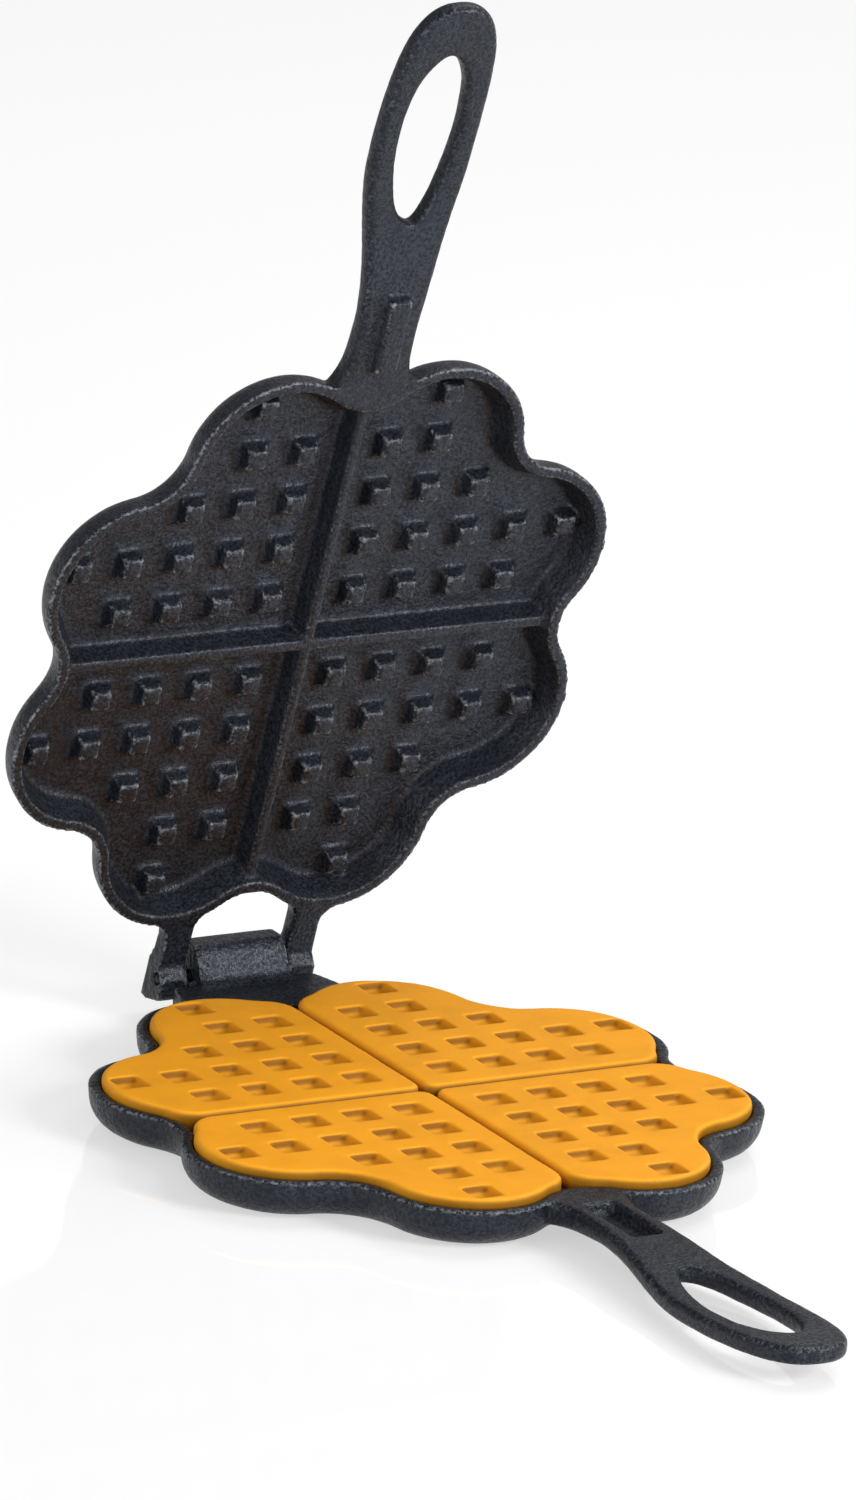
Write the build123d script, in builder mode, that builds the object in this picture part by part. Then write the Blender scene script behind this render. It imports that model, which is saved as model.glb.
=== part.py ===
# Stovetop waffle iron: two hinged cast iron plates with four heart-shaped waffles.
# +Z up, origin at the centre of the lower plate's flat underside,
# handles towards -Y, hinge towards +Y. Millimetres and degrees.
import os
from math import cos, degrees, hypot, radians, sin, sqrt, tan, atan
from build123d import *

os.makedirs("parts", exist_ok=True)

# plate outline: eight equal lobes with rounded notches between them
lobe_count = 8
lobe_radius = 29.8
lobe_circle_radius = 70.0
notch_radius = 15.3
# plate section
plate_height = 12.5
outer_draft = 7.0         # the outer wall leans inwards on its way down
outer_edge_radius = 9.5
rim_width = 3.4
cavity_depth = 9.4
wall_run = 3.6            # how far the inner wall slopes inwards on its way down
floor_fillet = 1.8
# cross ribs that part the four hearts
rib_height = 7.0
rib_top_width = 3.0
rib_base_width = 7.0
# pegs that make the waffle pockets
peg_pitch = 17.0
peg_first = 14.4          # from a rib's centre line to the first row
peg_height = 5.1
peg_base = 8.8
peg_top = 5.8
peg_rows = (4, 5, 3, 2)   # pegs in each row, before the single peg of the last row
# opening
parting_gap = 0.3         # between the two rims when the iron is shut
open_angle = 75.0
# hinge
hinge_gap = 19.0          # from the plate's edge to the axis
hinge_rise = 0.6          # axis above the lower rim
pin_radius = 1.8
pin_clearance = 0.05
pin_end_inset = 0.2
pin_chamfer = 0.5
arm_centre = 21.8
arm_width = 9.2
arm_thickness = 5.2
arm_flare = 6.0           # radius that joins an arm's sides to the plate's edge
knuckle_inner = 3.5       # from the axis to the knuckle's inner face
knuckle_outer = 6.6       # and to its outer face
knuckle_lead = 4.2        # where the knuckle starts to swell, before the axis
knuckle_toe = 6.0         # from the axis to the knuckle's end, along the inner face
knuckle_heel = 10.6       # and along the outer face
knuckle_radius = 1.8
block_half_length = 15.2
block_front = 8.0         # foot of the block's sloping front, before the axis
block_foot = 1.0          # its height above the rim plane
block_shoulder_run = 4.2
block_shoulder = 8.6
block_top_run = 2.2
block_top = 10.9
block_back = 9.4
block_drop = 8.8          # underside, below the rim plane
block_fillet = 2.2
web_clearance = 0.3       # below the rim plane
web_thickness = 8.2
web_root_half = 28.0
web_end_half = 24.0
web_corner_radius = 2.5
stop_distance = 5.6       # web's rear face to the axis, where the knuckles' toes land
ramp_length = 3.0
# handles, with distances along them from the plate's edge
handle_thickness = 5.6
handle_recess = 0.2       # inner face behind the rim plane
handle_length = 123.2
handle_drawn = 123.2      # length that the distances in the rows below belong to
handle_dips = ((20.0, 0.0), (36.0, 0.9), (52.0, 2.9), (68.0, 3.7), (84.0, 3.3), (104.0, 1.9),
               (124.4, 0.3))
handle_root_drop = 2.6    # extra depth where the handle joins the plate
handle_edge_radius = 1.8
handle_widths = ((-10.4, 17.0), (-4.9, 13.9), (0.6, 11.2), (9.6, 10.1), (18.8, 10.3),
                 (28.0, 11.0), (37.2, 12.1), (46.4, 13.5), (55.6, 15.1), (64.8, 16.4),
                 (74.0, 16.8), (83.2, 16.9), (91.7, 16.7), (98.4, 16.3), (104.6, 15.6),
                 (110.8, 14.2), (115.8, 12.2), (119.3, 9.8), (121.5, 7.1), (122.7, 4.2))
hole_start = 49.6
hole_end = 106.2
hole_widths = ((53.4, 4.4), (60.5, 7.0), (70.0, 8.9), (80.5, 9.6), (91.0, 8.9), (100.2, 6.2))
# locating key on the upper handle and its pocket in the lower one
key_centre = 14.6         # from the plate's edge
key_length = 24.0
key_width = 7.2
key_height = 3.4
key_clearance = 1.1
key_draft = 12.0
# waffles
waffle_rise = 2.3         # top face above the lower rim
waffle_clearance = 0.35
waffle_rim_gap = 0.55     # to the cavity's wall at the rim, and to the upper plate's when shut
waffle_half_gap = 0.9     # from a rib's centre line to the heart's side
waffle_point_radius = 4.0
waffle_shoulder_radius = 10.0
waffle_edge_radius = 1.5
pocket_clearance = 0.5
pocket_depth = 2.7
pocket_mouth = 9.4
pocket_floor = 8.2
pocket_radius = 1.0

# worked out from the sizes above
wall_angle = degrees(atan(wall_run / cavity_depth))
peg_angle = degrees(atan((peg_base - peg_top) / 2 / peg_height))
rib_angle = degrees(atan((rib_base_width - rib_top_width) / 2 / rib_height))
pocket_angle = degrees(atan((pocket_mouth - pocket_floor) / 2 / pocket_depth))
floor_height = plate_height - cavity_depth
hinge_height = plate_height + hinge_rise
plate_stack = 2 * plate_height + parting_gap
knuckle_height = plate_stack - hinge_height     # hinge axis in the upper plate's own frame
lobe_step = 360 / lobe_count
lobe_along = lobe_circle_radius * cos(radians(lobe_step / 2))     # lobe centre, along a notch
lobe_aside = lobe_circle_radius * sin(radians(lobe_step / 2))     # and across it
notch_centre = lobe_along + sqrt((lobe_radius + notch_radius) ** 2 - lobe_aside ** 2)
notch_reach = notch_centre - notch_radius
plate_reach = lobe_circle_radius + lobe_radius
lobe_front = lobe_along + lobe_radius
hinge_distance = lobe_front + hinge_gap
handle_face = plate_height - handle_recess
handle_tip = lobe_front + handle_length
handle_sag = max(dip for along, dip in handle_dips)
rib_reach = notch_reach - 1.2 * rim_width
rib_crest = plate_height - floor_height - rib_height       # below the rim plane
web_top = plate_height - web_clearance
web_end = hinge_distance - stop_distance
bore_radius = pin_radius + pin_clearance
key_pocket_floor = handle_face + key_height + key_clearance
waffle_top = plate_height + waffle_rise

# the upper plate's frame: its z axis points out of its own cavity,
# and its y axis runs to the hinge, as in the lower plate's frame
pivot = Vector(0, hinge_distance, hinge_height)
upper_origin = pivot + (Vector(0, 0, plate_stack) - pivot).rotate(Axis.X, -open_angle)
upper_up = Vector(0, 0, -1).rotate(Axis.X, -open_angle)
lower_frame = Plane.XY
upper_frame = Plane(origin=upper_origin, x_dir=(-1, 0, 0), z_dir=upper_up)
shut_frame = Plane(origin=(0, 0, plate_stack), x_dir=(-1, 0, 0), z_dir=(0, 0, -1))


def side_plane(frame, x):
    # plane across the plate at x, drawn in (y, z)
    origin = frame.from_local_coords(Vector(x, 0, 0))
    return Plane(origin=origin, x_dir=frame.y_dir, z_dir=frame.x_dir)


def front_plane(frame, y):
    # plane along the hinge axis at y, drawn in (x, z)
    origin = frame.from_local_coords(Vector(0, y, 0))
    return Plane(origin=origin, x_dir=frame.x_dir, z_dir=-frame.y_dir)


def tangent_point(inset):
    # where a lobe arc meets its notch arc, along and across the notch's direction
    share = (notch_radius + inset) / (lobe_radius + notch_radius)
    return notch_centre + (lobe_along - notch_centre) * share, lobe_aside * share


def polar(radius, angle):
    return (radius * cos(radians(angle)), radius * sin(radians(angle)))


def flower(inset):
    # plate outline moved inwards by inset: lobe arcs joined by tangent notch arcs
    along, aside = tangent_point(inset)
    turn = degrees(atan(aside / along))
    reach = hypot(along, aside)
    with BuildSketch(mode=Mode.PRIVATE) as outline:
        with BuildLine():
            for lobe in range(lobe_count):
                notch = lobe_step * lobe
                lobe_start = polar(reach, notch + turn)
                lobe_end = polar(reach, notch + lobe_step - turn)
                next_start = polar(reach, notch + lobe_step + turn)
                ThreePointArc(lobe_start, polar(plate_reach - inset, notch + lobe_step / 2), lobe_end)
                ThreePointArc(lobe_end, polar(notch_reach - inset, notch + lobe_step), next_start)
        make_face()
    return outline.sketch


def lowest_face(part, frame):
    return part.faces().sort_by(Axis(frame.origin, frame.z_dir))[0]


def plate_blank(frame):
    # plate without its cavity
    with BuildPart() as blank:
        with BuildSketch(frame.offset(plate_height)):
            add(flower(0))
        extrude(amount=-plate_height, taper=outer_draft)
        fillet(lowest_face(blank, frame).edges(), outer_edge_radius)
    return blank.part


def cavity_core(frame):
    with BuildPart() as core:
        with BuildSketch(frame.offset(floor_height)):
            add(flower(rim_width + wall_run))
        extrude(amount=cavity_depth, taper=-wall_angle)
        fillet(lowest_face(core, frame).edges(), floor_fillet)
    return core.part


def rib_section():
    half_base = rib_base_width / 2
    half_top = rib_top_width / 2
    with BuildSketch(mode=Mode.PRIVATE) as section:
        with BuildLine():
            Polyline(
                (-half_base, floor_height),
                (-half_top, floor_height + rib_height),
                (half_top, floor_height + rib_height),
                (half_base, floor_height),
                close=True,
            )
        make_face()
    return section.sketch


def cross_ribs(frame, shell):
    # one bar from side to side and two that meet it from front and back
    with BuildPart() as side_bar:
        with BuildSketch(side_plane(frame, -rib_reach)):
            add(rib_section())
        extrude(amount=2 * rib_reach)
        add(shell, mode=Mode.SUBTRACT)
    with BuildPart() as long_bar:
        with BuildSketch(front_plane(frame, rib_reach)):
            add(rib_section())
        extrude(amount=2 * rib_reach)
        add(shell, mode=Mode.SUBTRACT)
        add(side_bar.part, mode=Mode.SUBTRACT)
    return Compound(children=side_bar.solids() + long_bar.solids())


def peg_places():
    places = [(column, row) for row, count in enumerate(peg_rows) for column in range(count)]
    places.append((1, len(peg_rows)))
    return [(peg_first + peg_pitch * column, peg_first + peg_pitch * row) for column, row in places]


def all_peg_places():
    return [(sx * x, sy * y) for sx in (1, -1) for sy in (1, -1) for x, y in peg_places()]


def peg_field(frame, shell):
    with BuildPart() as pegs:
        with BuildSketch(frame.offset(floor_height)):
            with Locations(*all_peg_places()):
                Rectangle(peg_base, peg_base)
        extrude(amount=peg_height, taper=peg_angle)
        add(shell, mode=Mode.SUBTRACT)
    return pegs.part


def along_handle(distance):
    # y at a distance of the drawn handle, stretched to the handle's own length
    return -lobe_front - distance * handle_length / handle_drawn


def handle_bar(frame, blank):
    inner = [(along_handle(along), handle_face - dip) for along, dip in handle_dips]
    outer = [(y, z - handle_thickness) for y, z in inner]
    root = notch_reach - 2 * rim_width
    sides = [(half, along_handle(along)) for along, half in handle_widths]
    hole_sides = [(half, along_handle(along)) for along, half in hole_widths]
    with BuildPart() as bar:
        with BuildSketch(side_plane(frame, -plate_reach)):
            with BuildLine():
                top = Spline(*inner, tangents=[(-1, 0), (-1, 0.08)])
                Line(top @ 1, outer[-1])
                under = Spline(*reversed(outer), tangents=[(1, -0.08), (1, 0)])
                Polyline(
                    under @ 1,
                    (-root, handle_face - handle_thickness - handle_root_drop),
                    (-root, handle_face),
                    top @ 0,
                )
            make_face()
        extrude(amount=2 * plate_reach)
        with BuildSketch(frame):
            with BuildLine():
                side = Spline(
                    *sides,
                    (0, -handle_tip),
                    *[(-half, along) for half, along in reversed(sides)],
                )
                Line(side @ 1, side @ 0)
            make_face()
            with BuildLine():
                Spline(
                    (0, along_handle(hole_start)),
                    *hole_sides,
                    (0, along_handle(hole_end)),
                    *[(-half, along) for half, along in reversed(hole_sides)],
                    periodic=True,
                )
            make_face(mode=Mode.SUBTRACT)
        extrude(amount=plate_height, mode=Mode.INTERSECT)
        broad = bar.faces().sort_by(SortBy.AREA)[-2:]
        fillet(broad.edges(), handle_edge_radius)
        add(blank, mode=Mode.SUBTRACT)
    return bar.part


def key_block(frame, allowance, height):
    # locating key, grown by an allowance for its pocket
    root = handle_face - handle_sag
    spread = 2 * (handle_sag + key_height) * tan(radians(key_draft))
    with BuildPart() as key:
        with BuildSketch(frame.offset(root)) as foot:
            with Locations((0, -lobe_front - key_centre)):
                Rectangle(key_width + spread + 2 * allowance, key_length + spread + 2 * allowance)
            fillet(foot.vertices(), key_width / 4)
        extrude(amount=height - root, taper=key_draft)
    return key.part


def arm_plan(side, end):
    # arm seen from above, flared where it leaves the plate's edge
    with BuildSketch(mode=Mode.PRIVATE) as plan:
        add(flower(0))
        with Locations((side * arm_centre, (lobe_along + end) / 2)):
            Rectangle(arm_width, end - lobe_along)
        inner_corner = plan.vertices().sort_by_distance((side * (arm_centre - arm_width / 2), notch_reach))
        fillet(inner_corner[:1], arm_flare)
        outer_corner = plan.vertices().sort_by_distance((side * (arm_centre + arm_width / 2), lobe_front))
        fillet(outer_corner[:1], arm_flare)
        with Locations((side * arm_centre, (lobe_along + end) / 2)):
            Rectangle(arm_width + 1.7 * arm_flare, end - lobe_along, mode=Mode.INTERSECT)
    return plan.sketch


def hinge_arm(frame, blank, side):
    inner_edge = knuckle_height + knuckle_inner
    outer_edge = knuckle_height - knuckle_outer
    swell = hinge_distance - knuckle_lead
    toe = hinge_distance + knuckle_toe
    heel = hinge_distance + knuckle_heel
    back = plate_height - arm_thickness
    with BuildPart() as arm:
        with BuildSketch(side_plane(frame, -plate_reach)) as profile:
            with BuildLine():
                Polyline(
                    (notch_reach, plate_height),
                    (swell, plate_height),
                    (swell + inner_edge - plate_height, inner_edge),
                    (toe, inner_edge),
                    (heel, outer_edge),
                    (swell, outer_edge),
                    (swell - 3 * (back - outer_edge), back),
                    (notch_reach, back),
                    close=True,
                )
            make_face()
            ends = profile.vertices().sort_by(Axis.X)[-2:]
            fillet(ends, knuckle_radius)
        extrude(amount=2 * plate_reach)
        with BuildSketch(frame):
            add(arm_plan(side, heel))
        extrude(amount=plate_stack, mode=Mode.INTERSECT)
        add(blank, mode=Mode.SUBTRACT)
        with BuildSketch(side_plane(frame, -plate_reach)):
            with Locations((hinge_distance, knuckle_height)):
                Circle(bore_radius)
        extrude(amount=2 * plate_reach, mode=Mode.SUBTRACT)
    return arm.part


def waffle_round():
    # what fills the lower cavity, with its walls' slope
    with BuildPart() as cake:
        with BuildSketch(Plane.XY.offset(plate_height)):
            add(flower(rim_width + waffle_clearance))
        extrude(amount=-(cavity_depth - waffle_clearance), taper=wall_angle)
        fillet(cake.faces().sort_by(Axis.Z)[0].edges(), floor_fillet + waffle_clearance)
    return cake.part


def waffle_wedge(side_x, side_y):
    # corner between two ribs, clear of both of them
    near = rib_top_width / 2 + waffle_clearance - rib_crest * tan(radians(rib_angle))
    with BuildPart() as wedge:
        with BuildSketch(Plane.XY.offset(plate_height)):
            with Locations((side_x * (near + plate_reach / 2), side_y * (near + plate_reach / 2))):
                Rectangle(plate_reach, plate_reach)
        extrude(amount=-(cavity_depth - waffle_clearance), taper=rib_angle)
    return wedge.part


def heart_plan(side_x, side_y):
    # one quarter of the plate's outline, with its point and its two shoulders rounded
    middle = waffle_half_gap + plate_reach / 2
    with BuildSketch(mode=Mode.PRIVATE) as plan:
        add(flower(rim_width + waffle_rim_gap))
        with Locations((side_x * middle, side_y * middle)):
            Rectangle(plate_reach, plate_reach, mode=Mode.INTERSECT)
        point = plan.vertices().sort_by_distance((0, 0))[:1]
        fillet(point, waffle_point_radius)
        side_end = plan.vertices().sort_by_distance((side_x * notch_reach, 0))[:1]
        fillet(side_end, waffle_shoulder_radius)
        long_end = plan.vertices().sort_by_distance((0, side_y * notch_reach))[:1]
        fillet(long_end, waffle_shoulder_radius)
    return plan.sketch


def waffle(cake, side_x, side_y):
    places = [(side_x * x, side_y * y) for x, y in peg_places()]
    hollow_base = peg_base + 2 * pocket_clearance
    plan = heart_plan(side_x, side_y)
    with BuildPart() as heart:
        add(cake)
        add(waffle_wedge(side_x, side_y), mode=Mode.INTERSECT)
        with BuildSketch(Plane.XY):
            add(plan)
        extrude(amount=plate_height, mode=Mode.INTERSECT)
        # ledge over the ribs, and what stands above the rim
        with BuildSketch(Plane.XY.offset(plate_height)):
            add(plan)
        extrude(amount=-(rib_crest - waffle_clearance), taper=wall_angle)
        with BuildSketch(Plane.XY.offset(plate_height)):
            add(plan)
        extrude(amount=waffle_rise)
        fillet(heart.faces().sort_by(Axis.Z)[-1].edges(), waffle_edge_radius)
        # pockets around the lower pegs
        with BuildSketch(Plane.XY.offset(floor_height)):
            with Locations(*places):
                Rectangle(hollow_base, hollow_base)
        extrude(amount=peg_height + pocket_clearance, taper=peg_angle, mode=Mode.SUBTRACT)
        # pockets left by the upper pegs
        with BuildSketch(Plane.XY.offset(waffle_top)):
            with Locations(*places):
                RectangleRounded(pocket_mouth, pocket_mouth, pocket_radius)
        extrude(amount=-pocket_depth, taper=pocket_angle, mode=Mode.SUBTRACT)
    return heart.part


def finish(part, name):
    part.label = name
    export_step(part, "parts/" + name + ".step")


# lower plate
lower_blank = plate_blank(lower_frame)

with BuildPart() as lower_pan:
    add(lower_blank)
    add(cavity_core(lower_frame), mode=Mode.SUBTRACT)
finish(lower_pan.part, "lower_pan")

lower_ribs = cross_ribs(lower_frame, lower_pan.part)
finish(lower_ribs, "lower_ribs")

lower_pegs = peg_field(lower_frame, lower_pan.part)
finish(lower_pegs, "lower_pegs")

with BuildPart() as lower_handle:
    add(handle_bar(lower_frame, lower_blank))
    add(key_block(shut_frame, key_clearance, key_pocket_floor), mode=Mode.SUBTRACT)
finish(lower_handle.part, "lower_handle")

# hinge block on its web behind the lower plate, between the upper plate's two arms
with BuildPart() as lower_hinge_block:
    root = lobe_front - lobe_radius / 2
    with BuildSketch(Plane.XY.offset(web_top - web_thickness)) as web_plan:
        with BuildLine():
            Polyline(
                (-web_root_half, root),
                (web_root_half, root),
                (web_root_half, lobe_front - rim_width / 2),
                (web_end_half, web_end),
                (-web_end_half, web_end),
                (-web_root_half, lobe_front - rim_width / 2),
                close=True,
            )
        make_face()
        fillet(web_plan.vertices().sort_by(Axis.Y)[-2:], web_corner_radius)
    extrude(amount=web_thickness)
    front = hinge_distance - block_front
    back = hinge_distance + block_back
    bottom = plate_height - block_drop
    with BuildSketch(side_plane(Plane.XY, -block_half_length)) as block_side:
        with BuildLine():
            Polyline(
                (front, bottom),
                (front, plate_height + block_foot),
                (hinge_distance - block_shoulder_run, plate_height + block_shoulder),
                (hinge_distance - block_top_run, plate_height + block_top),
                (back - block_back / 2, plate_height + block_top),
                (back, plate_height + block_back / 2),
                (back, plate_height - block_back / 2),
                (back - block_back / 2, bottom),
                close=True,
            )
        make_face()
        fillet(block_side.vertices().sort_by(Axis.X)[2:], block_fillet)
    extrude(amount=2 * block_half_length)
    with BuildSketch(side_plane(Plane.XY, -block_half_length)):
        with BuildLine():
            Polyline(
                (front - ramp_length, web_top - web_thickness),
                (front - ramp_length, web_top),
                (front, plate_height + block_foot),
                (hinge_distance, plate_height + block_foot),
                (hinge_distance, web_top - web_thickness),
                close=True,
            )
        make_face()
    extrude(amount=2 * block_half_length)
    add(lower_blank, mode=Mode.SUBTRACT)
    with BuildSketch(side_plane(Plane.XY, -plate_reach)):
        with Locations((hinge_distance, hinge_height)):
            Circle(bore_radius)
    extrude(amount=2 * plate_reach, mode=Mode.SUBTRACT)
finish(lower_hinge_block.part, "lower_hinge_block")

# upper plate, with its cavity facing the lower one when the iron is shut
upper_blank = plate_blank(upper_frame)

with BuildPart() as upper_pan:
    add(upper_blank)
    add(cavity_core(upper_frame), mode=Mode.SUBTRACT)
finish(upper_pan.part, "upper_pan")

upper_ribs = cross_ribs(upper_frame, upper_pan.part)
finish(upper_ribs, "upper_ribs")

upper_pegs = peg_field(upper_frame, upper_pan.part)
finish(upper_pegs, "upper_pegs")

with BuildPart() as upper_handle:
    add(handle_bar(upper_frame, upper_blank))
    add(key_block(upper_frame, 0, handle_face + key_height))
finish(upper_handle.part, "upper_handle")

with BuildPart() as upper_left_arm:
    add(hinge_arm(upper_frame, upper_blank, 1))
finish(upper_left_arm.part, "upper_left_arm")

with BuildPart() as upper_right_arm:
    add(hinge_arm(upper_frame, upper_blank, -1))
finish(upper_right_arm.part, "upper_right_arm")

# steel pin through both arms and the block
with BuildPart() as hinge_pin:
    pin_half = arm_centre + arm_width / 2 - pin_end_inset
    with BuildSketch(side_plane(Plane.XY, -pin_half)):
        with Locations((hinge_distance, hinge_height)):
            Circle(pin_radius)
    extrude(amount=2 * pin_half)
    chamfer(hinge_pin.edges().filter_by(GeomType.CIRCLE), pin_chamfer)
finish(hinge_pin.part, "hinge_pin")

# waffles lying in the lower plate
cake = waffle_round()
for name, side_x, side_y in (
    ("waffle_front_left", -1, -1),
    ("waffle_front_right", 1, -1),
    ("waffle_back_left", -1, 1),
    ("waffle_back_right", 1, 1),
):
    finish(waffle(cake, side_x, side_y), name)
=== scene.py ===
import math
import bpy
import bmesh
import numpy as np
from mathutils import Euler, Matrix, Vector


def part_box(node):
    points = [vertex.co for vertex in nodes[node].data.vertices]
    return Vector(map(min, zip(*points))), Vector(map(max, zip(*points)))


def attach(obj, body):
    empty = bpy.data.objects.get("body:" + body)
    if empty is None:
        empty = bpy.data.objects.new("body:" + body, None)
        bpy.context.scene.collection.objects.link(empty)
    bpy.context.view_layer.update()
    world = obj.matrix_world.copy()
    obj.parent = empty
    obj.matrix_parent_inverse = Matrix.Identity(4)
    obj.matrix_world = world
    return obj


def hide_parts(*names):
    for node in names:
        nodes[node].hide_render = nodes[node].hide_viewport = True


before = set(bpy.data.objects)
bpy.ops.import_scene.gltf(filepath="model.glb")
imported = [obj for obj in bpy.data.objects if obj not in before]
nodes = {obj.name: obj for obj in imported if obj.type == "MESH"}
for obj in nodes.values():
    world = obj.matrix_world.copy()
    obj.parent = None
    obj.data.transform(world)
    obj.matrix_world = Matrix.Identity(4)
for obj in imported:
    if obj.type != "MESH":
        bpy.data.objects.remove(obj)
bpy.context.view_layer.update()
scene = bpy.context.scene
print("frame loaded:", len(nodes), "nodes")


def mm(length):
    return length / 1000


def hexToLinear(code):  # "#rrggbb" as linear colour, by the sRGB curve
    parts = [int(code[i:i + 2], 16) / 255 for i in (1, 3, 5)]
    return [p / 12.92 if p <= 0.04045 else ((p + 0.055) / 1.055) ** 2.4 for p in parts] + [1.0]


def addNode(tree, kind, inputs=None, take=None, **settings):
    # inputs goes from a socket's name or number to its value or to the socket that feeds it
    # take is the output to hand back, or None for the whole node
    node = tree.nodes.new(kind)
    for key, value in settings.items():
        setattr(node, key, value)
    for key, value in (inputs or {}).items():
        if isinstance(value, bpy.types.NodeSocket):
            tree.links.new(value, node.inputs[key])
        else:
            node.inputs[key].default_value = value
    return node if take is None else node.outputs[take]


def copyNodes(name, nodeNames):  # one new object holding the meshes of some nodes
    mesh = bpy.data.meshes.new(name)
    joined = bmesh.new()
    for nodeName in nodeNames:
        joined.from_mesh(nodes[nodeName].data)
    joined.to_mesh(mesh)
    joined.free()
    mesh.materials.clear()
    piece = bpy.data.objects.new(name, mesh)
    scene.collection.objects.link(piece)
    return piece


def applyModifiers(piece):
    graph = bpy.context.evaluated_depsgraph_get()
    graph.update()
    mesh = bpy.data.meshes.new_from_object(piece.evaluated_get(graph))
    old = piece.data
    piece.modifiers.clear()
    piece.data = mesh
    bpy.data.meshes.remove(old)
    mesh.name = piece.name


def softCast(piece, look):  # remeshed as one skin, soft at its corners and slightly uneven
    remesh = piece.modifiers.new("skin", "REMESH")
    remesh.mode = "VOXEL"
    remesh.voxel_size = mm(look["voxel"])
    smooth = piece.modifiers.new("soften", "SMOOTH")
    smooth.factor = 0.5
    smooth.iterations = look["softening"]
    for size, depth in look["ripples"]:
        clouds = bpy.data.textures.new(piece.name + "Clouds", "CLOUDS")
        clouds.noise_scale = mm(size)
        clouds.noise_depth = 1
        ripple = piece.modifiers.new("ripple", "DISPLACE")
        ripple.texture = clouds
        ripple.strength = mm(depth)
        ripple.mid_level = 0.5
    applyModifiers(piece)
    thinDown(piece, look["faces"])
    piece.data.shade_smooth()


def thinDown(piece, most):  # fewer triangles where it is flat
    piece.data.calc_loop_triangles()
    count = len(piece.data.loop_triangles)
    if count > most:
        thin = piece.modifiers.new("thin", "DECIMATE")
        thin.ratio = most / count
        applyModifiers(piece)
    print("  ", piece.name, count, "triangles, kept", min(count, most))


def meshArrays(mesh):
    count = len(mesh.vertices)
    places = np.empty(count * 3)
    mesh.vertices.foreach_get("co", places)
    normals = np.empty(count * 3)
    mesh.vertices.foreach_get("normal", normals)
    ends = np.empty(len(mesh.edges) * 2, int)
    mesh.edges.foreach_get("vertices", ends)
    return places.reshape(-1, 3), normals.reshape(-1, 3), ends.reshape(-1, 2)


def saveAttribute(mesh, name, values):
    data = mesh.attributes.new(name, "FLOAT", "POINT").data
    data.foreach_set("value", np.asarray(values, np.float32))


def markBends(mesh, look):  # attribute "edge": 0 on flats and in hollows, 1 on outer corners
    places, normals, ends = meshArrays(mesh)
    first, second = ends.T
    count = len(places)
    step = places[second] - places[first]
    square = np.maximum((step ** 2).sum(1), 1e-12)  # never nought, so it can divide
    away = -(step * normals[first]).sum(1) * 2 / square
    back = (step * normals[second]).sum(1) * 2 / square
    touches = np.bincount(first, minlength=count) + np.bincount(second, minlength=count)
    bend = np.bincount(first, away, count) + np.bincount(second, back, count)
    bend /= np.maximum(touches, 1)
    for _ in range(look["edgeSpread"]):
        total = np.bincount(first, bend[second], count) + np.bincount(second, bend[first], count)
        bend = (bend + total / np.maximum(touches, 1)) / 2
    saveAttribute(mesh, "edge", np.clip(bend * mm(look["edgeRadius"]), 0, 1))


# the two castings
castLook = {
    "voxel": 0.8,             # mm
    "softening": 3,           # rounds of smoothing
    "ripples": ((26.0, 0.24), (7.0, 0.12)),  # size and depth in mm
    "faces": 190000,          # triangles kept, at most
    "edgeSpread": 3,          # rounds of spreading the edge mark
    "edgeRadius": 1.6,        # mm, a corner this tight is marked in full
}
openAngle = 75.0              # degrees that the upper plate leans back from shut
upperTurn = Matrix.Rotation(math.radians(openAngle), 4, "X")


def makeCasting(name, body, nodeNames, turn):
    piece = copyNodes(name, nodeNames)
    piece.data.transform(turn)  # lying flat, so the remesh is square to its pegs
    softCast(piece, castLook)
    piece.data.transform(turn.inverted())
    markBends(piece.data, castLook)
    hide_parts(*nodeNames)
    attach(piece, body)
    return piece


lowerCasting = makeCasting("lowerCasting", "lower_plate", (
    "lower_pan", "lower_ribs", "lower_pegs", "lower_handle",
    "lower_hinge_block"), Matrix.Identity(4))
upperCasting = makeCasting("upperCasting", "upper_plate", (
    "upper_pan", "upper_ribs", "upper_pegs", "upper_handle",
    "upper_left_arm", "upper_right_arm"), upperTurn)
print("castings made")


# the four waffles
waffleShape = {
    "voxel": 0.7,             # mm
    "softening": 2,
    "ripples": ((14.0, 0.2), (4.0, 0.08)),
    "faces": 50000,
    "edgeSpread": 3,
    "edgeRadius": 2.5,        # mm
    "top": 14.8,              # mm, top face above the floor
    "pocketDepth": 2.7,       # mm
    "deepest": 1.5,           # pocket depths, where the depth mark ends
    "wallFrom": 0.85,         # upward part of the normal where a wall begins
    "wallRange": 0.4,         # how much less it is where the wall is full
    "hingeSideShade": 0.25,        # share of painted shade on walls that face the hinge; those to the handles get 1
    "handleTurn": 1.3,        # how soon a wall counts as facing the handles
}


def makeWaffle(side):
    look = waffleShape
    node = "waffle_" + side
    piece = copyNodes("heartWaffle." + side, (node,))
    softCast(piece, look)
    markBends(piece.data, look)
    places, normals, _ = meshArrays(piece.data)
    down = (mm(look["top"]) - places[:, 2]) / mm(look["pocketDepth"])
    saveAttribute(piece.data, "depth", np.clip(down, 0, look["deepest"]))
    # painted shade on the pocket walls, deepest on walls facing the handles
    steep = np.clip((look["wallFrom"] - normals[:, 2]) / look["wallRange"], 0, 1)
    toHandles = np.clip(-look["handleTurn"] * normals[:, 1], 0, 1)
    sideShade = look["hingeSideShade"] + (1 - look["hingeSideShade"]) * toHandles
    saveAttribute(piece.data, "wall", steep * sideShade)
    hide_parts(node)
    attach(piece, node)
    return piece


waffles = [makeWaffle(side) for side in ("front_left", "front_right", "back_left", "back_right")]
print("waffles made")


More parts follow.
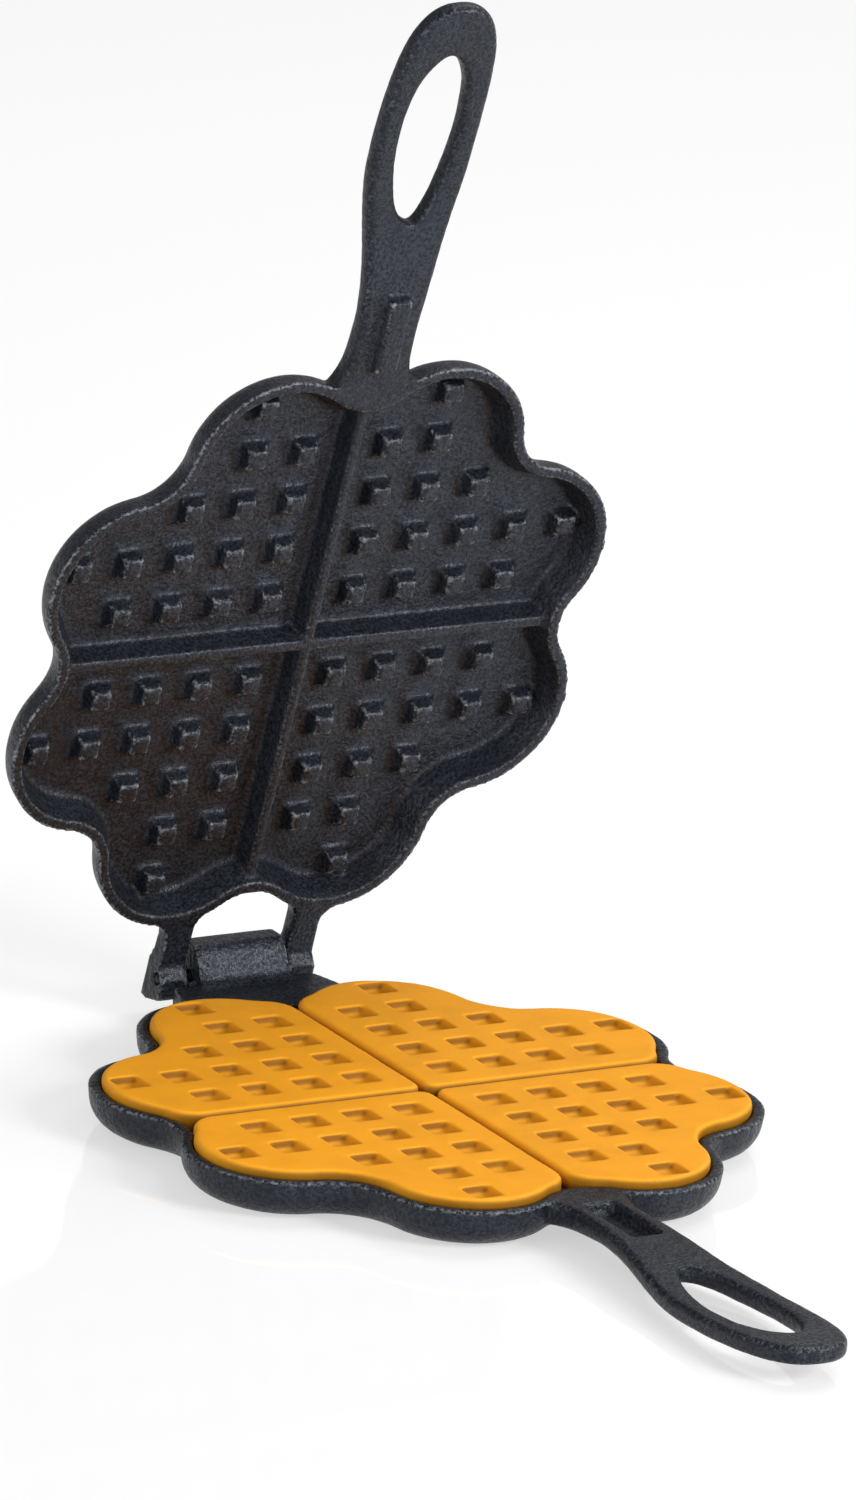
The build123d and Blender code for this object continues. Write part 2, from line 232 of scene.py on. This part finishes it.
# the hinge pin
pinLook = {
    "chamfer": 0.6,           # mm
    "crown": 0.15,            # mm that an end bulges
    "crownShare": 0.55,       # of the radius, where the crown's middle ends
    "sides": 48,
}


def makePin():  # turned pin with faintly crowned ends
    low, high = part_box("hinge_pin")
    middle = (low + high) / 2
    radius = (high.z - low.z) / 2
    half = (high.x - low.x) / 2
    chamfer = mm(pinLook["chamfer"])
    crown = mm(pinLook["crown"])
    oneEnd = [
        (-half, 0.0),
        (-half + crown, radius * pinLook["crownShare"]),
        (-half + crown * 2, radius - chamfer),
        (-half + crown * 2 + chamfer, radius),
    ]
    outline = oneEnd + [(-half + chamfer * 2, radius), (half - chamfer * 2, radius)]
    outline += [(-x, r) for x, r in reversed(oneEnd)]
    sides = pinLook["sides"]
    turns = [math.tau * k / sides for k in range(sides)]
    turned = bmesh.new()
    rings = []
    for x, r in outline:
        if r == 0:  # an end's middle is one point
            rings.append([turned.verts.new((middle.x + x, middle.y, middle.z))])
            continue
        rings.append([
            turned.verts.new((middle.x + x, middle.y + r * math.cos(t), middle.z + r * math.sin(t)))
            for t in turns])
    for near, far in zip(rings, rings[1:]):
        for k in range(sides):
            n = (k + 1) % sides
            corners = [
                near[k % len(near)], near[n % len(near)],
                far[n % len(far)], far[k % len(far)]]
            turned.faces.new(list(dict.fromkeys(corners)))  # a triangle where a point repeats
    bmesh.ops.recalc_face_normals(turned, faces=turned.faces)
    mesh = bpy.data.meshes.new("hingePin")
    turned.to_mesh(mesh)
    turned.free()
    mesh.shade_smooth()
    piece = bpy.data.objects.new("hingePin", mesh)
    scene.collection.objects.link(piece)
    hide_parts("hinge_pin")
    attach(piece, "upper_plate")
    return piece


hingePin = makePin()
print("pin made")


def newMaterial(name):
    material = bpy.data.materials.new(name)
    material.use_nodes = True
    material.node_tree.nodes.clear()
    return material


ironLook = {
    "grainHollowShade": "#090b0e",        # in the grain's hollows: its darker tone and painted shade
    "face": "#262a32",        # seasoned face
    "thick": "#13161c",       # where the oil has baked on thicker
    "wearAndHighlight": "#999ca0",        # corners rubbed nearly to the metal, brightened further as painted highlight
    "sheen": "#ecf2ff",       # cool light off the oil film
    "grainSize": 1.0,         # mm, casting sand; real grit is about half that, too fine to show
    "lumpSize": 4.5,          # mm, soft unevenness of the mould
    "patchSize": 40.0,        # mm, patches of seasoning
    "grainDepth": 0.3,        # mm
    "lumpDepth": 0.5,         # mm
    "smoothest": 0.26,        # roughness on top of the grain
    "roughest": 0.5,          # roughness in its hollows
    "specular": 0.28,         # the oil film takes some of the gloss away
    "gritAndGlintBand": (0.4, 0.62),  # grain noise from the hollow colour to the face; its contrast partly stands in for painted glints
    "oilBand": (0.5, 0.7),    # noise that goes from thin oil to thick
    "oilMost": 0.6,
    "breakBand": (0.3, 0.62),  # grain that breaks the rubbed corners up
    "breakLeast": 0.1,
    "rubAndHighlightBand": (0.3, 0.95),   # edge mark from untouched to rubbed and painted highlight
    "rubAndHighlightMost": 0.6,
    "glossBand": (0.3, 0.7),  # grain that goes from roughest to smoothest
}


def seasonedIron():
    # sand-cast iron with baked-on oil: near black, satin and pebbly; grain speckle partly painted
    # glints and shade, thin paler corners partly wear and partly painted highlight
    look = ironLook
    material = newMaterial("seasonedCastIron")
    tree = material.node_tree
    place = addNode(tree, "ShaderNodeTexCoord", take="Object")
    grain = addNode(tree, "ShaderNodeTexNoise", {
        "Vector": place, "Scale": 1000 / look["grainSize"],
        "Detail": 2.0, "Roughness": 0.6}, "Fac")
    lump = addNode(tree, "ShaderNodeTexNoise", {
        "Vector": place, "Scale": 1000 / look["lumpSize"],
        "Detail": 2.0, "Roughness": 0.5}, "Fac")
    patch = addNode(tree, "ShaderNodeTexNoise", {
        "Vector": place, "Scale": 1000 / look["patchSize"],
        "Detail": 3.0, "Roughness": 0.6}, "Fac")
    edge = addNode(tree, "ShaderNodeAttribute", take="Fac", attribute_name="edge")
    # speckle from the grain: partly random tone, partly painted glints and shade
    gritAndGlint = addNode(tree, "ShaderNodeMapRange", {
        "Value": grain, "From Min": look["gritAndGlintBand"][0],
        "From Max": look["gritAndGlintBand"][1]}, "Result")
    colour = addNode(tree, "ShaderNodeMix", {
        0: gritAndGlint, 6: hexToLinear(look["grainHollowShade"]),
        7: hexToLinear(look["face"])}, 2, data_type="RGBA")
    oiled = addNode(tree, "ShaderNodeMapRange", {
        "Value": patch, "From Min": look["oilBand"][0],
        "From Max": look["oilBand"][1], "To Max": look["oilMost"]}, "Result")
    colour = addNode(tree, "ShaderNodeMix", {
        0: oiled, 6: colour, 7: hexToLinear(look["thick"])}, 2, data_type="RGBA")
    broken = addNode(tree, "ShaderNodeMapRange", {
        "Value": grain, "From Min": look["breakBand"][0],
        "From Max": look["breakBand"][1], "To Min": look["breakLeast"]}, "Result")
    # paler corners: partly wear, partly painted highlight
    rubbedAndHighlit = addNode(tree, "ShaderNodeMath", {0: edge, 1: broken}, 0, operation="MULTIPLY")
    rubbedAndHighlit = addNode(tree, "ShaderNodeMapRange", {
        "Value": rubbedAndHighlit, "From Min": look["rubAndHighlightBand"][0],
        "From Max": look["rubAndHighlightBand"][1], "To Max": look["rubAndHighlightMost"]}, "Result")
    colour = addNode(tree, "ShaderNodeMix", {
        0: rubbedAndHighlit, 6: colour, 7: hexToLinear(look["wearAndHighlight"])}, 2, data_type="RGBA")
    bump = addNode(tree, "ShaderNodeBump", {
        "Height": lump, "Distance": mm(look["lumpDepth"]), "Strength": 1.0}, "Normal")
    bump = addNode(tree, "ShaderNodeBump", {
        "Height": grain, "Distance": mm(look["grainDepth"]), "Strength": 1.0,
        "Normal": bump}, "Normal")
    rough = addNode(tree, "ShaderNodeMapRange", {
        "Value": grain, "From Min": look["glossBand"][0], "From Max": look["glossBand"][1],
        "To Min": look["roughest"], "To Max": look["smoothest"]}, "Result")
    shader = addNode(tree, "ShaderNodeBsdfPrincipled", {
        "Base Color": colour, "Metallic": 0.0, "IOR": 1.5,
        "Specular IOR Level": look["specular"],
        "Specular Tint": hexToLinear(look["sheen"]), "Roughness": rough, "Normal": bump}, "BSDF")
    addNode(tree, "ShaderNodeOutputMaterial", {"Surface": shader})
    return material


waffleLook = {
    "crust": "#f2a21e",       # baked top
    "paintedEdgeHighlight": "#f7b544",        # painted highlight on the outer corners
    "pocketFloorTone": "#dd9720",     # darker floors of the pockets
    "wall": "#8c5c06",        # painted shade on steep sides, darkest where they face the handles
    "browned": "#e0941c",     # cloudy browning
    "cloudSize": 17.0,        # mm
    "crumbSize": 1.4,         # mm; real crumb is finer, drawn as coarse as it needs to show
    "crumbDepth": 0.06,       # mm
    "smoothest": 0.48,
    "roughest": 0.66,
    "specular": 0.15,         # dry crust, hardly glossy
    "brownBand": (0.42, 0.68),
    "brownMost": 0.5,
    "pocketFloorBand": (0.3, 0.95),  # depth mark from crust to the darker pocket floor
    "edgeHighlightBand": (0.3, 1.0),   # edge mark, where the painted highlight goes
    "edgeHighlightMost": 0.15,
    "glossBand": (0.3, 0.7),
}


def bakedBatter():
    # baked waffle batter: warm yellow crust, softly matt, darker deeper in its pockets, with
    # painted shade on the pocket walls and a painted highlight on the outer corners
    look = waffleLook
    material = newMaterial("bakedWaffleBatter")
    tree = material.node_tree
    place = addNode(tree, "ShaderNodeTexCoord", take="Object")
    cloud = addNode(tree, "ShaderNodeTexNoise", {
        "Vector": place, "Scale": 1000 / look["cloudSize"],
        "Detail": 3.0, "Roughness": 0.55}, "Fac")
    crumb = addNode(tree, "ShaderNodeTexNoise", {
        "Vector": place, "Scale": 1000 / look["crumbSize"],
        "Detail": 3.0, "Roughness": 0.6}, "Fac")
    depth = addNode(tree, "ShaderNodeAttribute", take="Fac", attribute_name="depth")
    wall = addNode(tree, "ShaderNodeAttribute", take="Fac", attribute_name="wall")
    edge = addNode(tree, "ShaderNodeAttribute", take="Fac", attribute_name="edge")
    browned = addNode(tree, "ShaderNodeMapRange", {
        "Value": cloud, "From Min": look["brownBand"][0],
        "From Max": look["brownBand"][1], "To Max": look["brownMost"]}, "Result")
    colour = addNode(tree, "ShaderNodeMix", {
        0: browned, 6: hexToLinear(look["crust"]),
        7: hexToLinear(look["browned"])}, 2, data_type="RGBA")
    # darker deeper in the pockets
    pocketFloorTone = addNode(tree, "ShaderNodeMapRange", {
        "Value": depth, "From Min": look["pocketFloorBand"][0],
        "From Max": look["pocketFloorBand"][1]}, "Result")
    colour = addNode(tree, "ShaderNodeMix", {
        0: pocketFloorTone, 6: colour, 7: hexToLinear(look["pocketFloorTone"])}, 2, data_type="RGBA")
    # painted shade on the pocket walls
    colour = addNode(tree, "ShaderNodeMix", {
        0: wall, 6: colour, 7: hexToLinear(look["wall"])}, 2, data_type="RGBA")
    # painted highlight along the outer corners
    edgeHighlight = addNode(tree, "ShaderNodeMapRange", {
        "Value": edge, "From Min": look["edgeHighlightBand"][0],
        "From Max": look["edgeHighlightBand"][1], "To Max": look["edgeHighlightMost"]}, "Result")
    colour = addNode(tree, "ShaderNodeMix", {
        0: edgeHighlight, 6: colour, 7: hexToLinear(look["paintedEdgeHighlight"])}, 2, data_type="RGBA")
    bump = addNode(tree, "ShaderNodeBump", {
        "Height": crumb, "Distance": mm(look["crumbDepth"]), "Strength": 1.0}, "Normal")
    rough = addNode(tree, "ShaderNodeMapRange", {
        "Value": crumb, "From Min": look["glossBand"][0], "From Max": look["glossBand"][1],
        "To Min": look["smoothest"], "To Max": look["roughest"]}, "Result")
    shader = addNode(tree, "ShaderNodeBsdfPrincipled", {
        "Base Color": colour, "Metallic": 0.0, "IOR": 1.45,
        "Specular IOR Level": look["specular"], "Roughness": rough, "Normal": bump}, "BSDF")
    addNode(tree, "ShaderNodeOutputMaterial", {"Surface": shader})
    return material


steelLook = {
    "bright": "#3d3c3b",
    "dull": "#1d1c1b",        # browned by the stove's heat
    "lineSize": 0.5,          # mm between drawing lines; a real pin's are too fine to show
    "lineStretch": 0.06,      # how little they change along the pin
    "lineDepth": 0.02,        # mm
    "stainSize": 3.0,         # mm
    "stainBand": (0.4, 0.65),
    "smoothest": 0.38,
    "roughest": 0.6,
    "glossBand": (0.3, 0.7),
}


def drawnSteel():
    # cold-drawn mild steel darkened by heat: dull grey, with fine lines along it
    look = steelLook
    material = newMaterial("drawnSteelPin")
    tree = material.node_tree
    place = addNode(tree, "ShaderNodeTexCoord", take="Object")
    along = addNode(tree, "ShaderNodeMapping", {
        "Vector": place, "Scale": (look["lineStretch"], 1, 1)}, "Vector")
    line = addNode(tree, "ShaderNodeTexNoise", {
        "Vector": along, "Scale": 1000 / look["lineSize"],
        "Detail": 2.0, "Roughness": 0.6}, "Fac")
    stain = addNode(tree, "ShaderNodeTexNoise", {
        "Vector": place, "Scale": 1000 / look["stainSize"],
        "Detail": 3.0, "Roughness": 0.6}, "Fac")
    stained = addNode(tree, "ShaderNodeMapRange", {
        "Value": stain, "From Min": look["stainBand"][0],
        "From Max": look["stainBand"][1]}, "Result")
    colour = addNode(tree, "ShaderNodeMix", {
        0: stained, 6: hexToLinear(look["bright"]),
        7: hexToLinear(look["dull"])}, 2, data_type="RGBA")
    bump = addNode(tree, "ShaderNodeBump", {
        "Height": line, "Distance": mm(look["lineDepth"]), "Strength": 1.0}, "Normal")
    rough = addNode(tree, "ShaderNodeMapRange", {
        "Value": line, "From Min": look["glossBand"][0], "From Max": look["glossBand"][1],
        "To Min": look["smoothest"], "To Max": look["roughest"]}, "Result")
    shader = addNode(tree, "ShaderNodeBsdfPrincipled", {
        "Base Color": colour, "Metallic": 1.0, "Roughness": rough, "Normal": bump}, "BSDF")
    addNode(tree, "ShaderNodeOutputMaterial", {"Surface": shader})
    return material


iron = seasonedIron()
batter = bakedBatter()
for piece in (lowerCasting, upperCasting):
    piece.data.materials.append(iron)
for piece in waffles:
    piece.data.materials.append(batter)
hingePin.data.materials.append(drawnSteel())
print("materials made")


# floor, light and camera
studio = {
    "floorColour": "#bcbcbc",
    "floorReach": 6.0,        # m each way
    "floorDrop": 0.05,        # mm under the iron
    "floorRough": 0.05,
    "floorIor": 1.8,
    "floorLift": 0.53,        # what the sheet adds where it is seen, and never lights with
    "worldLight": 0.42,
}
softBoxes = (  # name, place in m, width and height in m, watts
    ("keyRight", (1.05, -1.43, 0.95), (0.7, 0.7), 32.0),
    ("leftFill", (-2.0, -0.4, 0.8), (1.2, 1.2), 13.0),
    ("frontFill", (-0.9, -2.4, 0.45), (1.0, 0.6), 19.0),
    ("backTop", (0.9, 0.35, 1.5), (0.8, 0.8), 9.0),
)
lampAim = Vector((0.0, 0.03, 0.12))  # m, the middle of the open iron


def makeFloor():
    reach = studio["floorReach"]
    around = ((-1, -1), (1, -1), (1, 1), (-1, 1))
    sheet = bmesh.new()
    sheet.faces.new([sheet.verts.new((x * reach, y * reach, 0.0)) for x, y in around])
    mesh = bpy.data.meshes.new("studioFloor")
    sheet.to_mesh(mesh)
    sheet.free()
    floor = bpy.data.objects.new("studioFloor", mesh)
    floor.location.z = -mm(studio["floorDrop"])
    scene.collection.objects.link(floor)
    material = newMaterial("paleAcrylicFloor")  # white sheet: a faint mirror under the iron
    tree = material.node_tree
    sheen = addNode(tree, "ShaderNodeBsdfPrincipled", {
        "Base Color": hexToLinear(studio["floorColour"]), "Roughness": studio["floorRough"],
        "IOR": studio["floorIor"]}, "BSDF")
    path = addNode(tree, "ShaderNodeLightPath")  # only rays that show the floor see its lift
    shown = addNode(tree, "ShaderNodeMath", {
        0: path.outputs["Is Camera Ray"],
        1: path.outputs["Is Glossy Ray"]}, 0, operation="MAXIMUM")
    shown = addNode(tree, "ShaderNodeMath", {
        0: shown, 1: path.outputs["Is Transmission Ray"]}, 0, operation="MAXIMUM")
    lift = addNode(tree, "ShaderNodeMath", {
        0: shown, 1: studio["floorLift"]}, 0, operation="MULTIPLY")
    glow = addNode(tree, "ShaderNodeEmission", {
        "Color": (1, 1, 1, 1), "Strength": lift}, "Emission")
    both = addNode(tree, "ShaderNodeAddShader", {0: sheen, 1: glow}, 0)
    addNode(tree, "ShaderNodeOutputMaterial", {"Surface": both})
    mesh.materials.append(material)


def makeWorld():
    world = bpy.data.worlds.new("softStudio")
    scene.world = world
    world.use_nodes = True
    tree = world.node_tree
    tree.nodes.clear()
    light = addNode(tree, "ShaderNodeBackground", {
        "Color": (1, 1, 1, 1), "Strength": studio["worldLight"]}, "Background")
    addNode(tree, "ShaderNodeOutputWorld", {"Surface": light})


def makeLamps():  # every soft box faces the iron
    for name, place, size, watts in softBoxes:
        lamp = bpy.data.lights.new(name, "AREA")
        lamp.shape = "RECTANGLE"
        lamp.size, lamp.size_y = size
        lamp.energy = watts
        box = bpy.data.objects.new(name, lamp)
        box.location = place
        box.rotation_euler = (lampAim - Vector(place)).to_track_quat("-Z", "Y").to_euler()
        scene.collection.objects.link(box)


view = {
    "place": (-2.221597, -3.487718, 1.445768),      # m
    "turn": (1.258973, -0.080764, -0.539129),       # radians
    "lens": 360.355,                                # mm
    "frameHeight": 36.0,                            # mm
    "reach": 50.0,                                  # m
}


def makeCamera():
    lens = bpy.data.cameras.new("stillCamera")
    lens.sensor_fit = "VERTICAL"
    lens.sensor_height = view["frameHeight"]
    lens.lens = view["lens"]
    lens.clip_end = view["reach"]
    camera = bpy.data.objects.new("stillCamera", lens)
    camera.location = view["place"]
    camera.rotation_euler = Euler(view["turn"])
    scene.collection.objects.link(camera)
    scene.camera = camera


makeFloor()
makeWorld()
makeLamps()
makeCamera()
scene.view_settings.view_transform = "Standard"
print("studio made")
